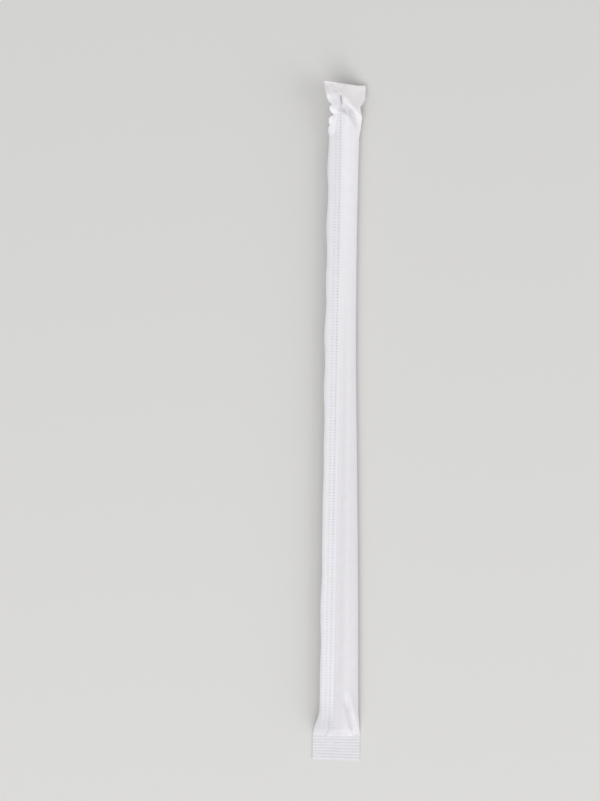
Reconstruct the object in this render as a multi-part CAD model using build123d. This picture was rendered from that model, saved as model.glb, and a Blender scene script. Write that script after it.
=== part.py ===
"""A drinking straw sealed in its paper sleeve, lying on a flat surface.

The sleeve is one folded sheet: a front and a back ply, joined by a sealed
fin along the left side, folded at the right side and crimped shut at both
ends. The straw inside can't be seen, so sleeve and straw are one solid.
+Y points to the top end, +X to the folded side, +Z up, in millimetres.
"""

import math
import os

from build123d import *

# Straw inside the sleeve
straw_diameter = 6.0
straw_length = 197.0
end_slack = 1.5

# Paper sleeve, laid flat
sleeve_width = 15.0
ply = 0.07

# Sealed fin along the left side
fin_width = 3.9
fin_slope_top = 46.0
fin_slope_bottom = 22.0
root_gap_top = 0.8
root_gap_bottom = 1.5

# Folded right side
fold_reach_top = 4.8
fold_reach_bottom = 5.3
fold_height = 2.2

# Flat spot that the sleeve lies on
rest_width = 2.4
left_slack = 0.15
wall_start_angle = 228.0
wall_end_turn = 20.0

# Crimped ends
crimp_length = 8.0
rib_count = 8
rib_pitch = 0.95
rib_height = 0.10
valley_squeeze = 0.8

# The bottom crimp lies on the surface, and the top one is turned down to the right
bottom_lift = 0.17
top_lift = 4.5
top_pitch = -6.0
top_roll = -28.0

# How far from the crimp the paper takes to reach its full shape, over the straw and at the sides
crown_run = 2.0
crown_start = 0.15
side_run = 9.5

# The crimping jaws press the paper out sideways by a hair
crimp_spread = 0.04
crimp_grip = 0.45

# Where the sections of an end are drawn, as shares of the crown's run, and of the way
# from there to the end of the sides' run and a little past it
crown_stations = (0.08, 0.18, 0.3, 0.45, 0.65, 0.85, 1.05, 1.4)
side_stations = (0.15, 0.35, 0.6, 0.8, 1.0, 1.2)

# Points that each stretch of the front ply's curve is drawn through
fin_steps = 5
crown_steps = 5
flank_steps = 4
wall_steps = 3

# Values that follow from these
inner_radius = straw_diameter / 2 + ply
double_ply = 2 * ply
half_length = straw_length / 2 + end_slack
half_width = sleeve_width / 2


def smooth(value):
    """Ease from 0 to 1 between 0 and 1."""
    value = min(max(value, 0.0), 1.0)
    return value * value * (3 - 2 * value)


def mix(low, high, share):
    """Point or number between two others."""
    return low + (high - low) * share


def polar(radius, angle):
    """Point of the body section on a circle about the straw's axis."""
    return Vector(
        radius * math.cos(math.radians(angle)),
        0,
        inner_radius + radius * math.sin(math.radians(angle)),
    )


class BodyShape:
    """The sizes of the body section that change slowly along the straw."""

    def __init__(self, position):
        share = position / (2 * half_length) + 0.5
        self.slope = mix(fin_slope_bottom, fin_slope_top, share)
        self.root_gap = mix(root_gap_bottom, root_gap_top, share)
        self.fold_reach = mix(fold_reach_bottom, fold_reach_top, share)


def front_points(shape):
    """Front ply of the body section, from the free edge to the right fold."""
    slope = shape.slope
    seam_angle = 90 + slope
    tangent = polar(inner_radius, seam_angle)
    downhill = Vector(-math.cos(math.radians(slope)), 0, -math.sin(math.radians(slope)))
    root = tangent + downhill * shape.root_gap
    points = [root + downhill * fin_width * (1 - step / fin_steps) for step in range(fin_steps + 1)]
    fold = Vector(shape.fold_reach, 0, fold_height + ply)
    arm = fold - Vector(0, 0, inner_radius)
    lean = math.degrees(math.atan2(arm.Z, arm.X))
    fold_angle = lean + math.degrees(math.acos(inner_radius / arm.length))
    for step in range(crown_steps + 1):
        points.append(polar(inner_radius, mix(seam_angle, fold_angle, step / crown_steps)))
    crown_end = points[-1]
    for step in range(1, flank_steps + 1):
        points.append(mix(crown_end, fold, step / flank_steps))
    return points


def back_points(shape, front):
    """Back ply of the body section, in runs: right flank, left side, back of the fin."""
    flank = [Vector(shape.fold_reach, 0, fold_height - ply), Vector(rest_width / 2, 0, 0)]
    slope = math.radians(shape.slope)
    through = Vector(math.sin(slope), 0, -math.cos(slope)) * double_ply
    fin = [point + through for point in reversed(front[: fin_steps + 1])]
    root_angle = math.degrees(math.atan2(fin[0].Z - inner_radius, fin[0].X))
    side = [Vector(-rest_width / 2, 0, 0)]
    for step in range(wall_steps + 1):
        angle = mix(wall_start_angle, root_angle + wall_end_turn, step / wall_steps)
        side.append(polar(inner_radius + left_slack, angle))
    side.append(fin[0])
    return flank, side, fin


def run_lengths(points):
    """Length along a row of points, at each of them."""
    lengths = [0.0]
    for before, after in zip(points, points[1:]):
        lengths.append(lengths[-1] + (after - before).length)
    return lengths


class FlatEnd:
    """The plane in which one end of the sleeve is pressed flat."""

    def __init__(self, sign, lift, pitch, roll):
        self.sign = sign
        self.origin = Vector(0, sign * half_length, lift)
        self.across = Vector(math.cos(math.radians(roll)), 0, math.sin(math.radians(roll)))
        level = Vector(0, sign, 0)
        upright = Vector(-self.across.Z, 0, self.across.X)
        turn = math.radians(pitch)
        self.outward = level * math.cos(turn) + upright * math.sin(turn)
        self.normal = upright * math.cos(turn) - level * math.sin(turn)

    def point(self, across, outward, height):
        """Point of the flat end, from its own three distances."""
        return self.origin + self.across * across + self.outward * outward + self.normal * height


bottom_end = FlatEnd(-1, bottom_lift, 0, 0)
top_end = FlatEnd(1, top_lift, top_pitch, top_roll)


def shape_share(distance, across):
    """How much of the body's shape the paper has at a distance from the crimp."""
    side = (across / half_width) ** 2
    step = min(max(distance / crown_run, 0.0), 1.0)
    soft_step = step * step / (step + crown_start) * (1 + crown_start)
    crown = math.sin(math.pi / 2 * soft_step)
    return mix(crown, smooth(distance / side_run), side)


def even_spline(points, tangents=None):
    """Curve through points at even steps, so that all sections match."""
    steps = [index / (len(points) - 1) for index in range(len(points))]
    return Edge.make_spline(points, tangents=tangents, parameters=steps)


def settle(end, distance, points, spans, height):
    """Blend points of the body section with their places on the flat end."""
    settled = []
    for point, span in zip(points, spans):
        across = span - half_width
        flat = end.point(across, max(-distance, 0.0), height)
        flat -= Vector(0, end.sign * max(distance, 0.0), 0)
        body = point + Vector(0, end.sign * (half_length - distance), 0)
        settled.append(mix(flat, body, shape_share(distance, across)))
    return settled


def section(end, distance):
    """One cross section as a closed wire, at a distance inwards from the crimp."""
    shape = BodyShape(end.sign * (half_length - distance))
    front = front_points(shape)
    flank, side, fin = back_points(shape, front)

    lengths = run_lengths(front)
    spans = [length * sleeve_width / lengths[-1] for length in lengths]
    fin_spans = spans[fin_steps::-1]
    lengths = run_lengths(flank + side)
    back_width = sleeve_width - fin_spans[0]
    back_spans = [sleeve_width - length * back_width / lengths[-1] for length in lengths]

    front = settle(end, distance, front, spans, ply)
    flank = settle(end, distance, flank, back_spans[:2], -ply)
    side = settle(end, distance, side, back_spans[2:], -ply)
    fin = settle(end, distance, fin, fin_spans, -ply)
    front_tangents = [front[1] - front[0], front[-1] - front[-2]]
    fin_tangents = [front[fin_steps - 1] - front[fin_steps + 1], front[0] - front[1]]
    return Wire(
        [
            even_spline(front, front_tangents),
            Edge.make_line(front[-1], flank[0]),
            Edge.make_line(flank[0], flank[1]),
            Edge.make_line(flank[1], side[0]),
            even_spline(side),
            even_spline(fin, fin_tangents),
            Edge.make_line(fin[-1], front[0]),
        ]
    )


def stations():
    """Distances from a crimp at which the sections of an end are drawn."""
    grip = [-crimp_grip, -crimp_grip / 2, 0.0]
    shoulder = [crown_run * share for share in crown_stations]
    flare = [mix(shoulder[-1], side_run, share) for share in side_stations]
    return grip + shoulder + flare


def make_end(end):
    """One end of the sleeve, where the paper goes from flat to round."""
    return Solid.make_loft([section(end, distance) for distance in stations()])


def make_body():
    """The long stretch between the two ends, with the straw's shape in it."""
    reach = stations()[-1]
    return Solid.make_loft([section(bottom_end, reach), section(top_end, reach)], ruled=True)


def make_crimp(end):
    """One crimped end: a flat band with ribs across it on both faces."""
    valley = ply * valley_squeeze
    crest = valley + rib_height
    lip = crimp_length - rib_count * rib_pitch

    def spot(outward, height):
        """Point on the band's left edge."""
        return end.point(-half_width - crimp_spread, outward, height)

    edges = []
    for face in (1, -1):
        for rib in range(rib_count):
            start = rib * rib_pitch
            edges.append(
                Edge.make_three_point_arc(
                    spot(start, face * valley),
                    spot(start + rib_pitch / 2, face * crest),
                    spot(start + rib_pitch, face * valley),
                )
            )
        ribbed = rib_count * rib_pitch
        edges.append(Edge.make_line(spot(ribbed, face * valley), spot(ribbed + lip, face * valley)))
    edges.append(Edge.make_line(spot(0, valley), spot(0, -valley)))
    edges.append(Edge.make_line(spot(crimp_length, valley), spot(crimp_length, -valley)))
    profile = Face(Wire(edges))
    return Solid.extrude(profile, end.across * (sleeve_width + 2 * crimp_spread))


def build_wrapped_straw():
    """The body, its two ends and their crimps as one solid."""
    pieces = [make_end(bottom_end), make_end(top_end), make_crimp(bottom_end), make_crimp(top_end)]
    return make_body().fuse(*pieces)


if __name__ == "__main__":
    os.makedirs("parts", exist_ok=True)
    straw = build_wrapped_straw()
    straw.label = "wrapped_straw"
    export_step(straw, "parts/wrapped_straw.step")
    print("volume", straw.volume, "box", straw.bounding_box())
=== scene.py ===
"""A drinking straw sealed in its paper sleeve, lying on a pale surface with its seam side up.

The sleeve replaces the plain solid of the frame and keeps its form: one folded sheet with
a sealed fin along the left side, a fold along the right side and a ribbed crimp at both
ends. +Y points to the top end, +X to the folded side and +Z up. Sizes are in metres, but
creases and other places that are seen from above are in millimetres.
"""

import functools
import logging
import math
from dataclasses import dataclass, field
from enum import Enum

import bpy
import numpy as np
from mathutils import Matrix, Vector


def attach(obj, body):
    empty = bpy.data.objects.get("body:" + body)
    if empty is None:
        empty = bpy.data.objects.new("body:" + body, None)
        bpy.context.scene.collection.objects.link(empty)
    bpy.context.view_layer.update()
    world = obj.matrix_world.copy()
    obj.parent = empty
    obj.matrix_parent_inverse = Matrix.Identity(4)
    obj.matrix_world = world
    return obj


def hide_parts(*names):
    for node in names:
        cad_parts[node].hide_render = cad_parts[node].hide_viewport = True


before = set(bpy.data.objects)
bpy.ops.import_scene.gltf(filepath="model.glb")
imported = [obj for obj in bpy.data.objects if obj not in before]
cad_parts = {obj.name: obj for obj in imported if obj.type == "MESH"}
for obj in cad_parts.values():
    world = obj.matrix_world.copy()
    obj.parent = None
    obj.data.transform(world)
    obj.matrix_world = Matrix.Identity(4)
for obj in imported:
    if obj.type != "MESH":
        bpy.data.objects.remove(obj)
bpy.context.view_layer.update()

LOG = logging.getLogger("wrapped_straw")
NODE = "wrapped_straw"

# How dark the faintest pressed mark is, and over which squared radii a mark fades out
MARK_LEAST = 0.55
MARK_EDGE = (0.1, 0.45)

Array = np.ndarray
Arrays = tuple[Array, Array]
Pair = tuple[float, float]
Line = tuple[Pair, ...]
Colour = tuple[float, float, float, float]
Socket = bpy.types.NodeSocket


class Ply(Enum):
    """Which layer of the flattened sleeve a column of points lies on."""

    FRONT = 1
    FOLD = 0
    BACK = -1


class End(Enum):
    """An end of the sleeve, by its direction along the straw."""

    BOTTOM = -1
    TOP = 1


def smooth(value: Array) -> Array:
    """Ease numbers from 0 to 1, with 0 before that range and 1 after it."""
    held = np.clip(value, 0.0, 1.0)
    return held * held * (3 - 2 * held)


def ramp(value: Array, run: Pair) -> Array:
    """Soft step from 0 at the start of a run to 1 at its end."""
    return smooth((value - run[0]) / (run[1] - run[0]))


def mix(low: Array, high: Array, share: Array) -> Array:
    """Blend the low value, at a share of 0, with the high one, at a share of 1."""
    return low + (high - low) * share


def bump(distance: Array, reach: float) -> Array:
    """Bell curve, 1 at its middle and about a third at its reach."""
    return np.exp(-((distance / reach) ** 2))


def soft_waves(across: Array, along: Array, size: Pair, seed: int, count: int) -> Array:
    """Smooth uneven waves over the sheet, the same on every run.

    Args:
        across: Place across the sheet.
        along: Place along the sheet.
        size: Shortest wave across and along the sheet.
        seed: Number that picks the waves.
        count: How many plain waves are added up.

    Returns:
        Heights of about -1 to 1.
    """
    pick = np.random.default_rng(seed)
    total = np.zeros(np.broadcast(across, along).shape)
    for _ in range(count):
        turns_across = pick.uniform(-1.0, 1.0) / size[0]
        turns_along = pick.uniform(0.15, 1.0) / size[1]
        phase = pick.uniform(0.0, math.tau)
        total += np.sin(math.tau * (across * turns_across + along * turns_along) + phase)
    return total / math.sqrt(count)


def spread(stops: list[tuple[float, int]]) -> Array:
    """Places in even steps between stops.

    Args:
        stops: The place of each stop, and the number of steps from it to the next one.

    Returns:
        The places, the last stop among them.
    """
    runs = [
        np.linspace(low, high, steps, endpoint=False)
        for (low, steps), (high, _) in zip(stops, stops[1:])
    ]
    return np.concatenate(runs + [[stops[-1][0]]])


def line_distance(x: Array, y: Array, line: Line) -> Arrays:
    """Distance from a line of straight runs.

    Args:
        x: Sideways places.
        y: Places along the straw.
        line: The corners of the line.

    Returns:
        Distance, above 0 on the line's left as it is walked, and share of the walk.
    """
    best = np.full(np.shape(x), np.inf)
    side, walk = np.zeros(np.shape(x)), np.zeros(np.shape(x))
    runs = list(zip(line, line[1:]))
    total = sum(math.dist(a, b) for a, b in runs)
    walked = 0.0
    for (ax, ay), (bx, by) in runs:
        length = math.dist((ax, ay), (bx, by))
        ux, uy = (bx - ax) / length, (by - ay) / length
        t = np.clip((x - ax) * ux + (y - ay) * uy, 0.0, length)
        gap = np.hypot(x - ax - t * ux, y - ay - t * uy)
        nearer = gap < best
        side = np.where(nearer, np.sign(ux * (y - ay) - uy * (x - ax)), side)
        walk = np.where(nearer, (walked + t) / total, walk)
        best = np.where(nearer, gap, best)
        walked += length
    return best * side, walk


@dataclass(frozen=True)
class FlatEnd:
    """The plane in which one end of the sleeve is pressed flat, with the solid's sizes."""

    end: End
    half_length: float
    lift: float
    pitch_deg: float = 0.0
    roll_deg: float = 0.0

    def points(self, across: Array, beyond: Array, height: Array) -> Array:
        """Places of the flattened sheet near this end.

        Args:
            across: Distance from the middle of the sheet.
            beyond: Distance past the crimp's first line, negative towards the straw.
            height: Distance above the middle of the flattened sheet.

        Returns:
            Points with their coordinates in the last axis.
        """
        roll, pitch = math.radians(self.roll_deg), math.radians(self.pitch_deg)
        sideways = np.array([math.cos(roll), 0.0, math.sin(roll)])
        upright = np.array([-math.sin(roll), 0.0, math.cos(roll)])
        level = np.array([0.0, float(self.end.value), 0.0])
        outward = level * math.cos(pitch) + upright * math.sin(pitch)
        up = upright * math.cos(pitch) - level * math.sin(pitch)
        origin = level * self.half_length + np.array([0.0, 0.0, self.lift])
        place = origin + across[..., None] * sideways + height[..., None] * up
        past, before = np.maximum(beyond, 0.0), np.minimum(beyond, 0.0)
        return place + past[..., None] * outward + before[..., None] * level


@dataclass
class SleeveForm:
    """The sizes of the sleeve, most of them as in the solid, and the shape that they give.

    A point of a cross section is a complex number: its place sideways, and its height as
    the imaginary part.
    """

    straw_diameter: float = 6.0e-3
    straw_length: float = 197.0e-3
    end_slack: float = 1.5e-3
    sleeve_width: float = 15.0e-3
    ply: float = 0.07e-3
    fin_width: float = 3.9e-3
    fin_slope_deg: Pair = (20.0, 27.0)
    root_gap: Pair = (1.5e-3, 0.8e-3)
    fold_reach: Line = (
        (-100.0e-3, 6.9e-3), (-75.0e-3, 6.65e-3), (-41.0e-3, 6.05e-3), (-9.0e-3, 5.3e-3),
        (25.0e-3, 4.45e-3), (65.0e-3, 4.3e-3), (100.0e-3, 4.8e-3),
    )
    fold_reach_ease: float = 6.0e-3
    fold_height: float = 2.0e-3
    fold_bulge: float = 0.06e-3
    rest_width: float = 2.4e-3
    left_slack: float = 0.15e-3
    wall_start_deg: float = 228.0
    wall_end_turn_deg: float = 20.0
    crimp_length: float = 8.0e-3
    rib_count: int = 8
    rib_pitch: float = 0.95e-3
    bottom_lift: float = 0.17e-3
    top_lift: float = 4.5e-3
    top_pitch_deg: float = -6.0
    top_roll_deg: float = -28.0
    crown_run: Pair = (3.6e-3, 2.0e-3)
    crown_start: float = 0.15
    side_run: float = 9.5e-3
    even_span: float = 5.0e-3
    flank_lead_deg: float = 15.0
    flank_drop_deg: float = 66.0
    flank_slack: float = 1.03
    edge_curl_run: float = 1.8e-3
    edge_curl_deg: Pair = (62.0, 12.0)
    edge_curl_least_deg: float = 8.0
    edge_curl_wave: float = 16.0e-3
    top_skew: float = 1.1
    top_skew_start: float = 0.3e-3

    def __post_init__(self) -> None:
        """Work out what follows from the sizes."""
        self.inner_radius = self.straw_diameter / 2 + self.ply
        self.half_length = self.straw_length / 2 + self.end_slack
        self.half_width = self.sleeve_width / 2
        self.bottom = FlatEnd(End.BOTTOM, self.half_length, self.bottom_lift)
        self.top = FlatEnd(
            End.TOP, self.half_length, self.top_lift, self.top_pitch_deg, self.top_roll_deg
        )

    def along_share(self, along: Array) -> Array:
        """How far along the straw a place is, from 0 at the bottom to 1 at the top."""
        return np.clip(along / (2 * self.half_length) + 0.5, 0.0, 1.0)

    def body_sizes(self, along: Array) -> tuple[Array, Array, Array]:
        """Sizes of the body section that change slowly along the straw.

        Args:
            along: Place along the straw.

        Returns:
            The fin's slope in radians, the gap at its root and the reach of the right fold.
        """
        share = self.along_share(along)
        slope = np.radians(mix(*self.fin_slope_deg, share))
        gap = mix(*self.root_gap, share)
        places = np.transpose(self.fold_reach)
        shifts = [self.fold_reach_ease * step for step in (-2, -1, 0, 1, 2)]
        reach = sum(np.interp(along + shift, *places) for shift in shifts) / len(shifts)
        return slope, gap, reach

    def on_circle(self, radius: float, angle: Array) -> Array:
        """Points at an angle on a circle about the straw's axis."""
        return 1j * self.inner_radius + radius * np.exp(1j * angle)

    def front_section(self, span: Array, along: Array) -> Array:
        """Front ply of the body section, from the free edge of the fin to the right fold.

        Args:
            span: Place across the flat sheet, from its free edge.
            along: Place along the straw.

        Returns:
            Points of the section.
        """
        slope, gap, reach = self.body_sizes(along)
        radius, uphill = self.inner_radius, np.exp(1j * slope)
        fold = reach + 1j * (self.fold_height + self.ply)
        arm = fold - 1j * radius
        seam_angle = math.pi / 2 + slope
        leave_angle = np.angle(arm) + np.arccos(radius / np.abs(arm))
        leave_angle = leave_angle + math.radians(self.flank_lead_deg)
        leave = self.on_circle(radius, leave_angle)
        line = self.fin_width + gap
        arc = radius * (seam_angle - leave_angle)
        chord = np.abs(fold - leave)
        flank = chord * self.flank_slack

        past = np.maximum(span - self.even_span, 0.0)
        squeeze = (line + arc + flank - self.even_span) / (self.sleeve_width - self.even_span)
        length = np.minimum(span, self.even_span) + past * squeeze
        place = self.on_circle(radius, seam_angle - np.clip(length - line, 0.0, arc) / radius)
        place = place + np.minimum(length - line, 0.0) * uphill
        last = np.clip((length - line - arc) / flank, 0.0, 1.0)
        rest = 1 - last
        start_pull = -1j * np.exp(1j * leave_angle)
        end_pull = np.exp(-1j * math.radians(self.flank_drop_deg))
        bend = last * rest * chord * (rest * start_pull - last * end_pull)
        bend = bend + rest * rest * (1 + 2 * last) * leave + last * last * (3 - 2 * last) * fold
        place = np.where(last > 0, bend, place)

        into = np.maximum(self.edge_curl_run - length, 0.0)
        curl = self.edge_curl_run / self.edge_curl(along)
        short = into - curl * np.sin(into / curl)
        down = curl * (1 - np.cos(into / curl))
        return place + (short - 1j * down) * uphill

    def edge_curl(self, along: Array) -> Array:
        """How far the free edge of the fin curls down.

        Args:
            along: Place along the straw.

        Returns:
            The angle at each place, in radians.
        """
        wave = soft_waves(np.zeros(1), along, (1.0, self.edge_curl_wave), seed=5, count=14)
        curl = self.edge_curl_deg[0] + self.edge_curl_deg[1] * wave
        return np.radians(np.maximum(curl, self.edge_curl_least_deg))

    def fin_back(self, span: Array, along: Array) -> Array:
        """Back of the fin, a double ply behind its front."""
        slope, _, _ = self.body_sizes(along)
        return self.front_section(span, along) - 2j * self.ply * np.exp(1j * slope)

    def back_section(self, span: Array, along: Array) -> Array:
        """Back ply of the body section, from the right fold to the root of the fin.

        Args:
            span: Place across the flat sheet, from its free edge.
            along: Place along the straw.

        Returns:
            Points of the section.
        """
        _, _, reach = self.body_sizes(along)
        root = self.fin_back(np.full(np.shape(reach), self.fin_width), along)
        outer = self.inner_radius + self.left_slack
        first = math.radians(self.wall_start_deg)
        last = np.angle(root - 1j * self.inner_radius) + math.radians(self.wall_end_turn_deg)
        corners = [
            reach + 1j * (self.fold_height - self.ply),
            self.rest_width / 2,
            -self.rest_width / 2,
            self.on_circle(outer, first),
            self.on_circle(outer, last),
            root,
        ]
        lengths = [np.abs(after - before) for before, after in zip(corners, corners[1:])]
        wall = 3
        lengths[wall] = outer * (first - last)
        walked = (self.sleeve_width - span) / (self.sleeve_width - self.fin_width) * sum(lengths)

        place, start = np.zeros(walked.shape), 0.0
        for index, length in enumerate(lengths):
            share = np.clip((walked - start) / length, 0.0, 1.0)
            run = mix(corners[index], corners[index + 1], share)
            if index == wall:
                run = self.on_circle(outer, mix(first, last, share))
            place = np.where(walked >= start, run, place)
            start = start + length
        return place

    def body_share(self, along: Array, across: Array) -> Array:
        """How much of the body's shape the paper has near an end.

        Args:
            along: Place along the straw.
            across: Distance from the middle of the sheet.

        Returns:
            0 where the sheet is pressed flat, and 1 where it has the body's full shape.
        """
        inside = self.half_length - np.abs(along)
        skew = self.top_skew * np.maximum(across - self.top_skew_start, 0.0) * (along > 0)
        run = np.where(along > 0, self.crown_run[1], self.crown_run[0])
        side = (across / self.half_width) ** 2
        step = np.clip((inside - skew) / run, 0.0, 1.0)
        soft_step = step * step / (step + self.crown_start) * (1 + self.crown_start)
        crown = np.sin(math.pi / 2 * soft_step)
        return mix(crown, smooth(inside / self.side_run), side)


@dataclass
class SleeveGrid:
    """The rows and columns of points that the sleeve's sheet is drawn with."""

    form: SleeveForm
    mark_count: int = 211
    fine_marks: int = 12
    steps_per_mark: int = 4
    fine_steps_per_mark: int = 8
    steps_per_rib: int = 6
    lip_steps: int = 2
    edge_steps: int = 8
    dash_zone: Pair = (1.95e-3, 3.05e-3)
    dash_steps: int = 7
    between_steps: int = 3
    pin_zone: Pair = (3.6e-3, 4.4e-3)
    pin_steps: int = 8
    front_steps: int = 48
    back_steps: int = 13
    fin_back_steps: int = 4

    def mark_pitch(self) -> float:
        """Distance between two marks of the sealed rows."""
        return 2 * self.form.half_length / self.mark_count

    def rows(self) -> Array:
        """Places of the rows along the sleeve, from the bottom cut edge to the top one.

        Returns:
            The places, with 0 at the middle of the straw.
        """
        form = self.form
        half, fine = form.half_length, self.mark_pitch() * self.fine_marks
        ribbed, edge = half + form.rib_count * form.rib_pitch, half + form.crimp_length
        rib_steps = form.rib_count * self.steps_per_rib
        fine_steps = self.fine_marks * self.fine_steps_per_mark
        middle_steps = (self.mark_count - 2 * self.fine_marks) * self.steps_per_mark
        stops = [(-edge, self.lip_steps), (-ribbed, rib_steps), (-half, fine_steps)]
        stops += [(fine - half, middle_steps), (half - fine, fine_steps), (half, rib_steps)]
        return spread(stops + [(ribbed, self.lip_steps), (edge, 0)])

    def columns(self) -> Arrays:
        """Places of the columns round the sleeve, from the free edge and back to it.

        Returns:
            Place across the flat sheet, and ply. The last column is the first one again.
        """
        width, root = self.form.sleeve_width, self.form.fin_width
        stops = [(0.0, self.edge_steps), (self.dash_zone[0], self.dash_steps)]
        stops += [(self.dash_zone[1], self.between_steps), (self.pin_zone[0], self.pin_steps)]
        front = spread(stops + [(self.pin_zone[1], self.front_steps), (width, 0)])
        back = spread([(width, self.back_steps), (root, self.fin_back_steps), (0.0, 0)])
        span = np.concatenate([front, [width], back, [0.0]])
        plies = [Ply.FRONT.value, Ply.FOLD.value, Ply.BACK.value, Ply.FRONT.value]
        return span, np.repeat(plies, [len(front), 1, len(back), 1])

    def drifted(self, span: Array, ply: Array, drift: Array) -> Arrays:
        """Shift the columns so that they follow the rows of marks along the sleeve.

        Args:
            span: Place of each column across the flat sheet.
            ply: Ply of each column.
            drift: How far the marks have moved at each row.

        Returns:
            Rows by columns of places across the sheet, and of distance walked round it.
        """
        width = self.form.sleeve_width
        steady = [0.0, self.dash_zone[0], self.pin_zone[1], width]
        take = np.interp(span, steady, [0.0, 1.0, 1.0, 0.0]) * (ply == Ply.FRONT.value)
        place = span[None, :] + drift[:, None] * take[None, :]
        walked = np.where(ply == Ply.BACK.value, 2 * width - place, place)
        walked[:, -1] = 2 * width
        return place, walked


@dataclass
class PressedSeam:
    """The two rows of heat-seal marks along the fin."""

    dash_line: float = 2.5e-3
    dash_width: float = 0.62e-3
    dash_height: float = 0.34e-3
    dash_depth: float = 0.04e-3
    pin_line: float = 4.0e-3
    pin_size: float = 0.40e-3
    pin_depth: float = 0.09e-3
    drift: float = 1.0e-3

    def drift_at(self, along: Array, form: SleeveForm) -> Array:
        """How far both rows have moved across the sheet at a place along it."""
        return self.drift * (along / (2 * form.half_length) + 0.5)

    def relief(self, span: Array, along: Array, form: SleeveForm, pitch: float) -> Array:
        """Height of the pressed marks.

        Args:
            span: Place across the flat sheet, from its free edge.
            along: Place along the straw.
            form: The sleeve's sizes.
            pitch: Distance between two marks.

        Returns:
            Height above the plain sheet, below 0 in a mark.
        """
        step = (along + form.half_length) / pitch
        off = (step - np.round(step)) * pitch
        inside = np.abs(along) < form.half_length + pitch / 2
        line = span - self.drift_at(along, form)
        dash = bump(off, self.dash_height / 2) * bump(line - self.dash_line, self.dash_width / 2)
        pin = bump(off, self.pin_size / 2) * bump(line - self.pin_line, self.pin_size / 2)
        return -(dash * self.dash_depth + pin * self.pin_depth) * inside


@dataclass(frozen=True)
class SoftFold:
    """A soft fold along a line, in millimetres seen from above. It may widen as it goes."""

    line: Line
    rise: float
    width: float
    grow: float = 0.45
    fade: float = 0.0
    widens: float = 0.0
    widens_by: float = 1.0

    def height(self, x: Array, y: Array) -> Array:
        """Height that the fold adds.

        Args:
            x: Sideways places.
            y: Places along the straw.

        Returns:
            Height, in millimetres, below 0 in a hollow.
        """
        gap, walk = line_distance(x, y, self.line)
        width = self.width + self.widens * smooth(walk / self.widens_by)
        height = self.rise * bump(gap, width)
        if self.grow:
            height = height * smooth(walk / self.grow)
        return height * smooth((1 - walk) / self.fade) if self.fade else height


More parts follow.
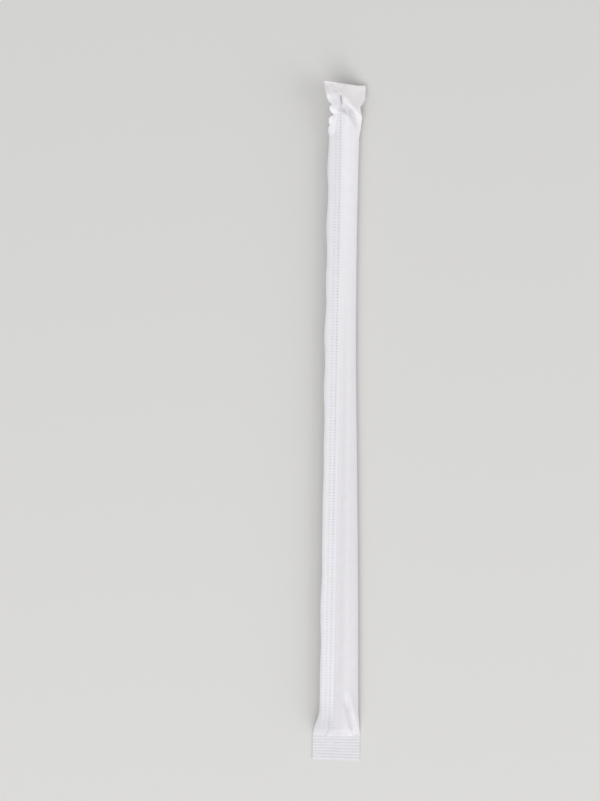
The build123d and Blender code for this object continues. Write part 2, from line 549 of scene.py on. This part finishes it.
@dataclass
class TopFold:
    """The creases of the top end: its crimp is bent back along a line that turns downwards.

    Places are seen from above, in millimetres from the middle of the straw.
    """

    crease: Line = ((-7.4, 103.9), (-1.8, 105.1), (0.75, 103.1), (5.9, 96.7))
    crease_rise: float = 1.15
    crease_grow: float = 0.15
    crease_least: float = 0.4
    crease_sink: Pair = (0.75, 1.0)
    crease_sink_share: float = 0.5
    crease_round: float = 0.2
    panel_slope: float = 0.11
    left_run: float = 5.0
    hollow_run: float = 1.5
    hollow_side: Pair = (-1.6, -1.2)
    hollow: SoftFold = SoftFold(
        (
            (-1.1, 104.9), (-0.9, 103.6), (-0.35, 101.9), (0.25, 100.6),
            (1.6, 99.3), (3.0, 97.9), (4.1, 96.5),
        ),
        -1.12, 0.55, grow=0.06, fade=0.4, widens=0.55, widens_by=0.35,
    )
    hollow_edge: float = 0.6
    slit: SoftFold = SoftFold(
        ((-1.2, 104.7), (-1.15, 103.0), (-0.95, 101.0), (-0.8, 99.8)),
        -1.1, 0.3, grow=0.15, fade=0.4,
    )
    strip_from: float = 4.4
    strip_slope: float = 0.3
    left_outline: Line = (
        (90.0, -5.2), (92.0, -5.1), (93.2, -4.95), (94.3, -4.75), (94.8, -4.35),
        (95.3, -4.75), (96.8, -4.85), (97.4, -4.3), (98.0, -3.3), (98.6, -3.9),
        (99.3, -4.55), (100.4, -4.75), (100.9, -4.3), (101.2, -3.9), (101.6, -4.3),
        (102.0, -5.0), (103.3, -5.45), (105.7, -6.1), (108.5, -6.65),
    )
    right_outline: Line = (
        (88.0, 5.0), (94.0, 5.2), (97.4, 5.6), (98.6, 5.2),
        (100.3, 4.9), (101.6, 5.7), (102.6, 6.4), (108.5, 6.62),
    )
    outline_run: Pair = (90.0, 95.0)
    held_middle: float = 1.4
    cut_edge: float = 107.96
    edge_slant: float = 0.14
    edge_slant_from: float = 102.5
    edge_slant_to: float = 4.2
    edge_slant_rise: float = 0.5
    lip: float = 0.3
    lip_width: float = 0.7
    lip_start: Pair = (-6.6, -5.8)
    lip_stop: Pair = (-3.4, -1.8)
    crumple: float = 0.08
    crumple_size: Pair = (1.9, 2.4)
    crumple_run: Pair = (99.0, 102.0)
    crumple_sides: Pair = (-1.5, 1.5)
    crumple_left: float = 1.2
    pucker: float = 0.11
    pucker_size: Pair = (1.1, 3.2)
    pucker_side: Pair = (-1.0, -2.2)
    pucker_start: Pair = (88.0, 94.0)
    pucker_stop: Pair = (102.5, 105.0)
    lift_run: Pair = (93.0, 96.0)
    both_plies_run: Pair = (97.0, 100.0)
    least_height: Pair = (0.2, 0.05)

    def lift(self, x: Array, y: Array) -> Array:
        """Height that the creases add.

        Args:
            x: Sideways places.
            y: Places along the straw.

        Returns:
            Height above the plain end, in millimetres.
        """
        off, walk = line_distance(x, y, self.crease)
        soft = np.sqrt(off * off + self.crease_round**2) - self.crease_round
        fade = mix(self.crease_least, 1.0, smooth(walk / self.crease_grow))
        sunk = self.crease_sink_share * ramp(walk, self.crease_sink)
        rise = self.crease_rise * fade * (1 - sunk)
        run = mix(self.left_run, self.hollow_run, ramp(x, self.hollow_side))
        near = rise * np.maximum(1 - soft / run, 0.0)
        panel = rise - self.panel_slope * soft
        panel = panel + self.strip_slope * np.maximum(x - self.strip_from, 0.0)
        dips = self.hollow.height(x, y) + self.slit.height(x, y)
        return np.where(off > 0, panel, near + dips * smooth(-off / self.hollow_edge))

    def squeeze(self, points: Array) -> Array:
        """Pull the sides in to the puckered outline.

        Args:
            points: Points of the sheet, in millimetres.

        Returns:
            The moved points.
        """
        x, y = points[..., 0], points[..., 1]
        row_y = y.mean(axis=1, keepdims=True)
        take = ramp(row_y, self.outline_run)
        moved = x.copy()
        for outline, side in ((self.left_outline, -1.0), (self.right_outline, 1.0)):
            edge = np.interp(row_y, *np.transpose(outline)) * side
            now = (x * side).max(axis=1, keepdims=True)
            ratio = (edge - self.held_middle) / (now - self.held_middle)
            outer = x * side > self.held_middle
            pulled = self.held_middle + (x * side - self.held_middle) * mix(1.0, ratio, take)
            moved = np.where(outer, pulled * side, moved)
        result = points.copy()
        result[..., 0] = moved
        front = int(np.argmax(x[0]))
        for row in np.flatnonzero(take[:, 0] > 0):
            surface = (x[row, : front + 1], points[row, : front + 1, 2])
            result[row, :, 2] += np.interp(moved[row], *surface) - np.interp(x[row], *surface)
        slant = self.cut_slant(np.minimum(moved, self.edge_slant_to))
        result[..., 1] = y + slant * ramp(y, (self.edge_slant_from, y.max()))
        return result

    def cut_slant(self, x: Array) -> Array:
        """How far the cut edge stands out at a place across the end."""
        return self.edge_slant_rise - self.edge_slant * (x - self.left_outline[-1][1])

    def crumples(self, x: Array, y: Array) -> Array:
        """Small uneven folds of the panel, its lip and the puckered left side.

        Args:
            x: Sideways places.
            y: Places along the straw.

        Returns:
            Height that they add, in millimetres.
        """
        panel = soft_waves(x, y, self.crumple_size, seed=21, count=18) * self.crumple
        panel = panel * ramp(y, self.crumple_run) * (self.crumple_left - ramp(x, self.crumple_sides))
        fine = soft_waves(x, y, self.pucker_size, seed=8, count=18) * self.pucker
        fine = fine * ramp(x, self.pucker_side)
        fine = fine * ramp(y, self.pucker_start) * (1 - ramp(y, self.pucker_stop))
        past_edge = y - self.cut_edge - self.cut_slant(x)
        lip = self.lip * np.clip(past_edge / self.lip_width + 1, 0.0, 1.0) ** 2
        lip = lip * ramp(x, self.lip_start) * (1 - ramp(x, self.lip_stop))
        return panel + fine + lip


@dataclass
class LowerFolds:
    """The soft folds of the body and above the bottom crimp, and the crimp's own crease."""

    folds: tuple[SoftFold, ...] = (
        SoftFold(((2.6, -84.0), (3.0, -88.2), (4.1, -92.7), (6.0, -99.2)), -1.4, 0.74),
        SoftFold(((3.9, -80.0), (4.4, -86.5), (6.15, -93.6), (7.0, -99.0)), 0.44, 0.8),
        SoftFold(((-1.2, -70.0), (-1.2, -90.0), (-1.8, -98.5)), -0.14, 0.9),
        SoftFold(((1.2, 60.0), (0.9, 0.0), (0.7, -60.0), (0.9, -92.0)), -0.1, 0.6, 0.3, 0.1),
        SoftFold(((2.9, 40.0), (2.8, 0.0), (3.3, -50.0), (3.6, -82.0)), 0.14, 0.55, 0.3, 0.2),
    )
    front_run: Pair = (-100.0, -98.8)
    edge_slant: float = 0.036
    edge_rise: float = 0.2
    edge_run: Pair = (-100.0, -108.0)
    crimp_crease: SoftFold = SoftFold(
        ((-2.4, -99.9), (-1.2, -101.4), (0.3, -102.9)), 0.17, 0.4, grow=0.0
    )


@dataclass
class PaperSleeve:
    """The sleeve: one closed sheet round the straw, with its folds, ribs and pressed marks."""

    form: SleeveForm = field(default_factory=SleeveForm)
    seam: PressedSeam = field(default_factory=PressedSeam)
    top_fold: TopFold = field(default_factory=TopFold)
    lower_folds: LowerFolds = field(default_factory=LowerFolds)
    rib_relief: Pair = (0.12e-3, 0.04e-3)
    rib_sharpness: float = 0.7
    rib_start: Pair = (0.0, 0.6)
    rib_strip: float = 0.8
    rib_least: float = 0.5
    smooth_angle_deg: float = 38.0

    def __post_init__(self) -> None:
        """Lay out the points of the sheet."""
        self.grid = SleeveGrid(self.form)
        self.rows = self.grid.rows()
        columns, self.ply = self.grid.columns()
        self.is_back = (self.ply == Ply.BACK.value)[None, :]
        drift = self.seam.drift_at(self.rows, self.form)
        self.span, self.walked = self.grid.drifted(columns, self.ply, drift)

    def base_points(self) -> Array:
        """Points of the plain sheet, before its creases, ribs and marks.

        Returns:
            Rows by columns by three coordinates.
        """
        form, span = self.form, self.span
        along = self.rows[:, None]
        one = np.ones(span.shape)
        is_fold = (self.ply == Ply.FOLD.value)[None, :]
        across = span - form.half_width
        spot = (
            across + is_fold * form.fold_bulge,
            one * (np.abs(along) - form.half_length),
            one * self.ply * form.ply,
        )
        flat = np.where(along[..., None] > 0, form.top.points(*spot), form.bottom.points(*spot))

        inner = np.clip(along, -form.half_length, form.half_length)
        _, _, reach = form.body_sizes(inner)
        kinds = [self.is_back & (span <= form.fin_width), self.is_back, is_fold]
        sections = [
            form.fin_back(np.minimum(span, form.fin_width), inner),
            form.back_section(np.maximum(span, form.fin_width), inner),
            reach + form.fold_bulge + 1j * form.fold_height,
        ]
        section = np.select(kinds, sections, form.front_section(span, inner))
        body = np.stack([section.real, one * inner, section.imag], axis=-1)
        return mix(flat, body, form.body_share(along, across)[..., None])

    def normals(self, points: Array) -> Array:
        """Outward direction of the sheet at each point.

        Args:
            points: Rows by columns by three coordinates, the last column the first again.

        Returns:
            A unit vector for each point.
        """
        ring = points[:, :-1]
        along = np.gradient(ring, axis=0)
        around = np.roll(ring, -1, axis=1) - np.roll(ring, 1, axis=1)
        out = np.cross(around, along)
        out /= np.maximum(np.linalg.norm(out, axis=-1, keepdims=True), 1e-12)
        return np.concatenate([out, out[:, :1]], axis=1)

    def crimp_relief(self, points: Array) -> Array:
        """Ribs across both flattened ends, pressed through both plies.

        At the top they show on the bent back panel only, and best at its right side.

        Args:
            points: Points of the sheet.

        Returns:
            Height of the ribs at each row and column.
        """
        form = self.form
        beyond = np.abs(self.rows) - form.half_length
        turns = np.clip(beyond / form.rib_pitch, 0.0, form.rib_count)
        wave = np.abs(np.sin(math.pi * turns)) ** self.rib_sharpness
        x, y = points[..., 0] * 1e3, points[..., 1] * 1e3
        off, _ = line_distance(x, y, self.top_fold.crease)
        strip = self.top_fold.strip_from
        panel = ramp(off, self.rib_start) * (self.rib_least + ramp(x, (strip, strip + self.rib_strip)))
        height = np.where(y > 0, self.rib_relief[1] * panel, self.rib_relief[0])
        return wave[:, None] * height

    def points(self) -> Array:
        """Points of the finished sheet, whose marks and ribs go through both plies.

        Returns:
            Rows by columns by three coordinates.
        """
        base = self.fold_ends(self.base_points())
        marks = self.seam.relief(self.span, self.rows[:, None], self.form, self.grid.mark_pitch())
        relief = (marks + self.crimp_relief(base)) * np.where(self.is_back, -1.0, 1.0)
        return base + self.normals(base) * relief[..., None]

    def fold_ends(self, points: Array) -> Array:
        """Crease both ends as in the photograph.

        Args:
            points: Points of the plain sheet.

        Returns:
            The creased sheet.
        """
        upper, lower = self.top_fold, self.lower_folds
        folded = upper.squeeze(points * 1e3)
        x, y, z = folded[..., 0], folded[..., 1], folded[..., 2]
        lift = upper.lift(x, y) * ramp(y, upper.lift_run) + upper.crumples(x, y)
        raised = z + lift * np.where(self.is_back, ramp(y, upper.both_plies_run), 1.0)
        least = np.minimum(np.where(self.is_back, upper.least_height[1], upper.least_height[0]), z)
        z = np.where(y > 0, np.maximum(raised, least), raised)

        front = ramp(y, lower.front_run) * ~self.is_back
        z = z + sum(fold.height(x, y) for fold in lower.folds) * front
        z = z + lower.crimp_crease.height(x, y)
        slant = lower.edge_rise - lower.edge_slant * (x + self.form.half_width * 1e3)
        y = y + slant * ramp(y, lower.edge_run)
        return np.stack([x, y, np.maximum(z, 0.0)], axis=-1) * 1e-3

    def build(self) -> bpy.types.Object:
        """Make the sleeve's mesh.

        Returns:
            The new object, at the origin, with its place in its mesh.
        """
        deselect_all()
        rows, columns = self.span.shape[0] - 1, self.span.shape[1] - 1
        bpy.ops.mesh.primitive_grid_add(x_subdivisions=columns, y_subdivisions=rows, size=2.0)
        sleeve = bpy.context.object
        mesh = sleeve.data
        sleeve.name = mesh.name = "paper_sleeve"

        start = np.empty(len(mesh.vertices) * 3)
        mesh.vertices.foreach_get("co", start)
        start = start.reshape(-1, 3)
        column = np.rint((start[:, 0] + 1) / 2 * columns).astype(int)
        row = np.rint((start[:, 1] + 1) / 2 * rows).astype(int)
        mesh.vertices.foreach_set("co", self.points()[row, column].ravel())

        corner_vertex = np.empty(len(mesh.loops), dtype=int)
        mesh.loops.foreach_get("vertex_index", corner_vertex)
        sheet = np.stack([self.walked[row, column], self.rows[row]], axis=-1)
        layer = mesh.uv_layers.active
        layer.name = "sheet"
        layer.data.foreach_set("uv", sheet[corner_vertex].ravel())
        mesh.update()

        bpy.ops.object.mode_set(mode="EDIT")
        bpy.ops.mesh.select_all(action="SELECT")
        bpy.ops.mesh.remove_doubles(threshold=1e-6)
        bpy.ops.mesh.select_all(action="DESELECT")
        bpy.ops.mesh.select_non_manifold(extend=False, use_wire=False, use_boundary=True)
        bpy.ops.mesh.fill()
        bpy.ops.mesh.select_all(action="SELECT")
        bpy.ops.mesh.normals_make_consistent(inside=False)
        bpy.ops.object.mode_set(mode="OBJECT")
        bpy.ops.object.shade_smooth_by_angle(angle=math.radians(self.smooth_angle_deg))
        return sleeve


def deselect_all() -> None:
    """Leave object mode with nothing selected."""
    if bpy.context.object and bpy.context.object.mode != "OBJECT":
        bpy.ops.object.mode_set(mode="OBJECT")
    bpy.ops.object.select_all(action="DESELECT")


class NodeSheet:
    """A node tree that is filled one wired node at a time."""

    def __init__(self, tree: bpy.types.NodeTree) -> None:
        """Take the tree that the nodes go into."""
        self.tree = tree

    def add(self, kind: str, inputs: dict, **settings: object) -> bpy.types.Node:
        """Add a node and fill its inputs.

        Args:
            kind: The node's type.
            inputs: For an input's name or number, the value or the socket that feeds it.
            settings: The node's own settings.

        Returns:
            The new node.
        """
        node = self.tree.nodes.new(kind)
        for name, setting in settings.items():
            setattr(node, name, setting)
        for name, given in inputs.items():
            if isinstance(given, Socket):
                self.tree.links.new(given, node.inputs[name])
            else:
                node.inputs[name].default_value = given
        return node

    def use(self, group: str, inputs: dict) -> bpy.types.NodeOutputs:
        """Outputs of a named group, placed with its inputs filled."""
        tree = bpy.data.node_groups[group]
        return self.add("ShaderNodeGroup", inputs, node_tree=tree).outputs

    def math(self, operation: str, *given: object) -> Socket:
        """Result of one sum on numbers and sockets, in their order."""
        inputs = dict(enumerate(given))
        return self.add("ShaderNodeMath", inputs, operation=operation).outputs[0]

    def times(self, *given: object) -> Socket:
        """Product of numbers and sockets."""
        return functools.reduce(lambda low, high: self.math("MULTIPLY", low, high), given)

    def rest(self, value: object) -> Socket:
        """What is left of 1."""
        return self.math("SUBTRACT", 1.0, value)

    def ramp(self, value: object, low: float, high: float) -> Socket:
        """Soft step from 0 at the low value to 1 at the high one."""
        inputs = {"Value": value, "From Min": low, "From Max": high}
        return self.add("ShaderNodeMapRange", inputs, interpolation_type="SMOOTHSTEP").outputs[0]

    def blend(self, share: Socket, low: object, high: object) -> Socket:
        """Blend two colours, each given as a colour or a socket."""
        # A Mix node has its colours at inputs 6 and 7 and at output 2
        return self.add("ShaderNodeMix", {0: share, 6: low, 7: high}, data_type="RGBA").outputs[2]


def new_group(name: str, takes: dict[str, str], gives: dict[str, str]) -> tuple:
    """Start a shader node group.

    Args:
        name: The group's name.
        takes: Socket type of each named input.
        gives: Socket type of each named output.

    Returns:
        Its sheet, the sockets that it takes and the sockets that it gives.
    """
    group = bpy.data.node_groups.new(name, "ShaderNodeTree")
    for side, sockets in (("INPUT", takes), ("OUTPUT", gives)):
        for socket, kind in sockets.items():
            group.interface.new_socket(name=socket, in_out=side, socket_type=kind)
    start = group.nodes.new("NodeGroupInput")
    end = group.nodes.new("NodeGroupOutput")
    return NodeSheet(group), start.outputs, end.inputs


def add_pressed_marks_group() -> None:
    """Add a group that masks one row of evenly spaced marks, some fainter than others."""
    number = "NodeSocketFloat"
    takes = {name: number for name in ("Across", "Along", "Line", "Pitch", "Width", "Height")}
    sheet, get, give = new_group("pressed_marks", takes, {"Mask": number})
    step = sheet.math("DIVIDE", get["Along"], get["Pitch"])
    nearest = sheet.math("ROUND", step)
    off = sheet.times(sheet.math("SUBTRACT", step, nearest), get["Pitch"])
    high = sheet.math("DIVIDE", off, get["Height"])
    wide = sheet.math("DIVIDE", sheet.math("SUBTRACT", get["Across"], get["Line"]), get["Width"])
    squares = sheet.math("MULTIPLY_ADD", wide, wide, sheet.times(high, high))
    noise = sheet.add("ShaderNodeTexWhiteNoise", {"W": nearest}, noise_dimensions="1D")
    strength = sheet.math("MULTIPLY_ADD", noise.outputs["Value"], 1 - MARK_LEAST, MARK_LEAST)
    mask = sheet.times(sheet.rest(sheet.ramp(squares, *MARK_EDGE)), strength)
    sheet.tree.links.new(mask, give["Mask"])


def add_paper_fibre_group() -> None:
    """Add a group that gives the fibres of thin paper, as a height, and its clouds, as a shade."""
    number = "NodeSocketFloat"
    takes = {"Place": "NodeSocketVector", "Fibre": number, "Cloud": number}
    sheet, get, give = new_group("paper_fibre", takes, {"Height": number, "Shade": number})
    for scale, shown, settings in (
        ("Fibre", "Height", {"Detail": 3.0, "Distortion": 0.6}),
        ("Cloud", "Shade", {"Detail": 4.0}),
    ):
        inputs = {"Vector": get["Place"], "Scale": get[scale]} | settings
        noise = sheet.add("ShaderNodeTexNoise", inputs)
        sheet.tree.links.new(noise.outputs[0], give[shown])


def plain_material(name: str, colour: Colour, roughness: float) -> bpy.types.Material:
    """Make a material of one colour.

    Args:
        name: The material's name.
        colour: Its colour.
        roughness: How dull it is, from 0 to 1.

    Returns:
        The new material.
    """
    material = bpy.data.materials.new(name)
    material.use_nodes = True
    shader = material.node_tree.nodes["Principled BSDF"]
    shader.inputs["Base Color"].default_value = colour
    shader.inputs["Roughness"].default_value = roughness
    return material


@dataclass(frozen=True)
class PaperFinish:
    """Thin uncoated white paper, cooler where it is double, with painted shade on parts of the body,
    the bottom crimp and the top panel, and painted highlights between the seal marks.
    """

    seam: PressedSeam
    form: SleeveForm
    mark_pitch: float
    crease: Line
    name: str = "sleeve_paper"
    colour: Colour = (0.885, 0.865, 0.89, 1.0)
    # painted shade: the paper is darkened towards the bottom end, where less light falls
    lower_shade_colour: Colour = (0.79, 0.77, 0.795, 1.0)
    double_colour: Colour = (0.875, 0.865, 0.905, 1.0)
    double_edge: Pair = (5.05e-3, 5.5e-3)
    # painted shade: a darker band along the crown of the lower body, past the root of the fin
    crown_shade_colour: Colour = (0.74, 0.72, 0.745, 1.0)
    crown_shade_start: Pair = (5.3e-3, 7.3e-3)
    crown_shade_stop: Pair = (7.5e-3, 9.6e-3)
    # painted shade: the bottom crimp, the fin above it and the paper beside the top of the seam are
    # greyed with this colour
    end_shade_colour: Colour = (0.73, 0.715, 0.74, 1.0)
    end_shade_share: float = 0.9
    crimp_edge: Pair = (-0.2e-3, 0.5e-3)
    # painted shade: run over which the double fin above the bottom crimp is greyed
    fin_shade_run: Pair = (-86.0e-3, -96.0e-3)
    # painted shade: the puckered paper beside the seam, near the top crease, is greyed
    seam_grey: float = 0.75
    seam_grey_across: Pair = (-6.0, -2.6)
    seam_grey_along: Pair = (-7.5, -1.2)
    seam_grey_stop: Pair = (-0.9, -1.4)
    # painted shade: the bent back panel of the top end is warm grey, lighter towards its right side
    panel_shade_colour: Colour = (0.815, 0.785, 0.785, 1.0)
    panel_edge: Pair = (-0.45, 0.35)
    panel_ragged: float = 4.0
    panel_ragged_side: Pair = (-1.2, -2.4)
    panel_right_shade_colour: Colour = (0.90, 0.87, 0.87, 1.0)
    panel_right_rise: Pair = (102.0, 106.5)
    panel_right_run: Pair = (-1.0, 3.5)
    # seal marks are darkened with this colour, partly their own tone and partly painted shadow in their
    # pits; the paper's clouds use it too
    mark_colour: Colour = (0.41, 0.38, 0.39, 1.0)
    mark_end: float = 0.2e-3
    mark_height: float = 0.06e-3
    dash_tint: float = 0.3
    dash_fade: Pair = (96.0e-3, 88.0e-3)
    pin_tint: float = 0.55
    # painted highlight: the raised bars between the dashes are lightened
    bar_highlight_colour: Colour = (0.95, 0.945, 0.97, 1.0)
    bar_size: Pair = (1.5e-3, 0.42e-3)
    bar_highlight_tint: float = 0.3
    fibre_scale: float = 2600.0
    cloud_scale: float = 420.0
    cloud_range: Pair = (0.3, 0.75)
    cloud_tint: float = 0.05
    grain_height: float = 0.012e-3
    roughness: float = 0.78

    def material(self) -> bpy.types.Material:
        """Make the material.

        Returns:
            The new material.
        """
        paper = plain_material(self.name, self.colour, self.roughness)
        sheet = NodeSheet(paper.node_tree)
        shader = paper.node_tree.nodes["Principled BSDF"]

        flat = sheet.add("ShaderNodeUVMap", {}, uv_map="sheet")
        place = sheet.add("ShaderNodeSeparateXYZ", {"Vector": flat.outputs[0]}).outputs
        along = place[1]
        from_start = sheet.math("ADD", along, self.form.half_length)
        askew = -self.seam.drift / (2 * self.form.half_length)
        across = sheet.math("MULTIPLY_ADD", from_start, askew, place[0])
        to_end = sheet.math("SUBTRACT", sheet.math("ABSOLUTE", along), self.form.half_length)
        spot = sheet.add("ShaderNodeTexCoord", {}).outputs["Object"]
        scales = {"Place": spot, "Fibre": self.fibre_scale, "Cloud": self.cloud_scale}
        fibres = sheet.use("paper_fibre", scales)
        place_mm = sheet.add("ShaderNodeVectorMath", {0: spot, "Scale": 1e3}, operation="SCALE")
        seen = sheet.add("ShaderNodeSeparateXYZ", {"Vector": place_mm.outputs[0]}).outputs

        single = sheet.ramp(across, *self.double_edge)
        # painted shade: share of the darkening towards the bottom end
        lower = sheet.ramp(along, self.form.half_length, -self.form.half_length / 2)
        # painted shade: band along the crown of the lower body
        crown_shade = sheet.rest(sheet.ramp(across, *self.crown_shade_stop))
        crown_shade = sheet.times(crown_shade, sheet.ramp(across, *self.crown_shade_start), lower)
        above = self.above_crease(sheet, seen)
        # painted shade: the bottom crimp is greyed
        crimped = sheet.times(sheet.ramp(to_end, *self.crimp_edge), sheet.math("LESS_THAN", along, 0.0))
        # painted shade: the double fin above the bottom crimp is greyed
        fin_shade = sheet.times(sheet.ramp(along, *self.fin_shade_run), sheet.rest(single))
        pressed = sheet.times(sheet.math("MAXIMUM", crimped, fin_shade), self.end_shade_share)
        # painted shade: greying of the paper beside the seam near the top crease
        seam_grey = sheet.times(
            sheet.ramp(seen[0], *self.seam_grey_across),
            self.seam_grey,
            sheet.ramp(above, *self.seam_grey_along),
            sheet.ramp(seen[0], *self.seam_grey_stop),
        )
        pressed = sheet.math("MAXIMUM", pressed, seam_grey)
        # painted shade: the panel above the top crease, with a ragged lower left edge
        shift = sheet.math("MULTIPLY_ADD", fibres["Shade"], self.panel_ragged, -self.panel_ragged / 2)
        ragged = sheet.times(shift, sheet.ramp(seen[0], *self.panel_ragged_side))
        panel = sheet.ramp(sheet.math("ADD", above, ragged), *self.panel_edge)
        right = sheet.ramp(seen[0], *self.panel_right_run)
        right = sheet.times(right, sheet.ramp(seen[1], *self.panel_right_rise))
        panel_shade_colour = sheet.blend(right, self.panel_shade_colour, self.panel_right_shade_colour)
        cloud = sheet.times(sheet.ramp(fibres["Shade"], *self.cloud_range), self.cloud_tint)
        dashes, pins, bars = self.marks(sheet, across, from_start, to_end)
        # the dashes and pins are tinted darker: pressed seal marks, partly painted shadow in their pits
        faint = sheet.times(self.dash_tint, sheet.ramp(along, *self.dash_fade))
        tint = sheet.math("MAXIMUM", sheet.times(dashes, faint), sheet.times(pins, self.pin_tint))

        colour = self.colour
        for share, laid in (
            (lower, self.lower_shade_colour),
            (sheet.rest(single), self.double_colour),
            (crown_shade, self.crown_shade_colour),
            # painted shade: greyed crimp, fin and seam side
            (pressed, self.end_shade_colour),
            (panel, panel_shade_colour),
            (cloud, self.mark_colour),
            # painted highlight on the bars between the dashes
            (sheet.times(bars, self.bar_highlight_tint), self.bar_highlight_colour),
            (tint, self.mark_colour),
        ):
            colour = sheet.blend(share, colour, laid)
        sheet.tree.links.new(colour, shader.inputs["Base Color"])

        grain = sheet.times(fibres["Height"], self.grain_height)
        dip = sheet.times(sheet.math("MAXIMUM", dashes, pins), self.mark_height)
        height = sheet.math("SUBTRACT", grain, dip)
        relief = sheet.add("ShaderNodeBump", {"Height": height, "Strength": 1.0, "Distance": 1.0})
        sheet.tree.links.new(relief.outputs[0], shader.inputs["Normal"])
        return paper

    def marks(
        self, sheet: NodeSheet, across: object, from_start: object, to_end: object
    ) -> list[Socket]:
        """Masks of the two rows of pressed marks, and of the bars that stand between the marks.

        Args:
            sheet: The tree that the masks go into.
            across: Place across the sheet, in line with the rows.
            from_start: Distance from the first mark.
            to_end: Distance past the last mark.

        Returns:
            The masks of the dashes, the pins and the bars.
        """
        seam = self.seam
        half_step = sheet.math("ADD", from_start, self.mark_pitch / 2)
        open_part = sheet.rest(sheet.ramp(to_end, 0.0, self.mark_end))
        masks = []
        for start, line, width, height in (
            (from_start, seam.dash_line, seam.dash_width, seam.dash_height),
            (from_start, seam.pin_line, seam.pin_size, seam.pin_size),
            (half_step, seam.dash_line, *self.bar_size),
        ):
            row = {"Across": across, "Along": start, "Line": line, "Pitch": self.mark_pitch}
            mask = sheet.use("pressed_marks", row | {"Width": width, "Height": height})
            masks.append(sheet.times(mask[0], open_part))
        return masks

    def above_crease(self, sheet: NodeSheet, seen: object) -> Socket:
        """How far a place lies above the crease of the top end, in millimetres.

        Args:
            sheet: The tree that the distance goes into.
            seen: Sockets of the place, in millimetres.

        Returns:
            The socket that holds the distance, below 0 on the straw's side.
        """
        rises = []
        for (ax, ay), (bx, by) in (self.crease[:2], self.crease[1::2]):
            slope = (by - ay) / (bx - ax)
            line = sheet.math("MULTIPLY_ADD", seen[0], -slope, slope * ax - ay)
            rises.append(sheet.math("ADD", seen[1], line))
        return sheet.math("MAXIMUM", *rises)


@dataclass(frozen=True)
class FloorFinish:
    """Plain pale matt surface."""

    name: str = "pale_surface"
    colour: Colour = (0.70, 0.69, 0.67, 1.0)
    roughness: float = 0.9

    def material(self) -> bpy.types.Material:
        """Make the material."""
        return plain_material(self.name, self.colour, self.roughness)


@dataclass(frozen=True)
class Lamp:
    """A square soft lamp that shines on the straw."""

    name: str
    place: tuple[float, float, float]
    size: float
    power: float

    def add(self) -> None:
        """Place the lamp."""
        turn = (-Vector(self.place)).to_track_quat("-Z", "Y").to_euler()
        bpy.ops.object.light_add(type="AREA", location=self.place, rotation=turn)
        lamp = bpy.context.object
        lamp.name = self.name
        lamp.data.shape = "SQUARE"
        lamp.data.size = self.size
        lamp.data.energy = self.power


@dataclass
class Studio:
    """The camera, the pale floor and the soft lights."""

    photo_width: float = 600.0
    photo_height: float = 801.0
    pixels_per_metre: float = 3176.0
    middle_px: Pair = (340.3, 427.3)
    lean_deg: float = 0.63
    tilt_deg: float = 7.0
    camera_distance: float = 0.9
    sensor: float = 36.0
    sight: Pair = (0.01, 20.0)
    straw_axis_height: float = 3.0e-3
    floor_size: float = 6.0
    lamps: tuple[Lamp, ...] = (
        Lamp("left_lamp", (-0.62, -0.66, 1.30), 1.0, 7.2),
        Lamp("right_lamp", (1.36, -0.24, 0.80), 1.2, 7.4),
        Lamp("foot_lamp", (0.0, -1.2, 0.9), 1.0, 5.0),
    )
    sky_colour: Colour = (0.97, 0.985, 1.0, 1.0)
    sky_strength: float = 0.54

    def add_camera(self) -> None:
        """Place the camera above the straw, as the photograph sees it."""
        tilt, lean = math.radians(self.tilt_deg), math.radians(self.lean_deg)
        back = Vector((0.0, math.sin(tilt), math.cos(tilt)))
        level_up = Vector((-math.sin(lean), math.cos(lean), 0.0))
        right = level_up.cross(back).normalized()
        up = back.cross(right)
        to_right = (self.middle_px[0] - self.photo_width / 2) / self.pixels_per_metre
        to_foot = (self.middle_px[1] - self.photo_height / 2) / self.pixels_per_metre
        aim = Vector((0.0, 0.0, self.straw_axis_height)) - right * to_right + up * to_foot
        turn = Matrix((right, up, back)).transposed().to_euler()
        bpy.ops.object.camera_add(location=aim + back * self.camera_distance, rotation=turn)
        camera = bpy.context.object
        camera.name = "camera"
        camera.data.sensor_width = self.sensor
        field_height = self.photo_height / self.pixels_per_metre
        camera.data.lens = self.sensor * self.camera_distance / field_height
        camera.data.clip_start, camera.data.clip_end = self.sight
        bpy.context.scene.camera = camera

    def add_lights(self) -> None:
        """Add the soft lamps and an even sky."""
        for lamp in self.lamps:
            lamp.add()
        world = bpy.data.worlds.new("soft_sky")
        world.use_nodes = True
        sky = world.node_tree.nodes["Background"]
        sky.inputs["Color"].default_value = self.sky_colour
        sky.inputs["Strength"].default_value = self.sky_strength
        bpy.context.scene.world = world

    def add_floor(self) -> None:
        """Lay the pale surface under the straw."""
        deselect_all()
        bpy.ops.mesh.primitive_plane_add(size=self.floor_size, location=(0.0, 0.0, 0.0))
        floor = bpy.context.object
        floor.name = "floor"
        floor.data.materials.append(FloorFinish().material())


def main() -> None:
    """Build the camera, the lights, the floor and the sleeve."""
    logging.basicConfig(level=logging.INFO, format="%(name)s: %(message)s")
    bpy.context.scene.view_settings.view_transform = "Standard"
    studio = Studio()
    studio.add_camera()
    studio.add_lights()
    studio.add_floor()

    add_pressed_marks_group()
    add_paper_fibre_group()
    wrapper = PaperSleeve()
    pitch, crease = wrapper.grid.mark_pitch(), wrapper.top_fold.crease
    finish = PaperFinish(wrapper.seam, wrapper.form, pitch, crease)
    sleeve = wrapper.build()
    sleeve.data.materials.append(finish.material())
    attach(sleeve, "root")
    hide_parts(NODE)
    LOG.info("%s: %d faces", sleeve.name, len(sleeve.data.polygons))


if __name__ == "__main__":
    main()
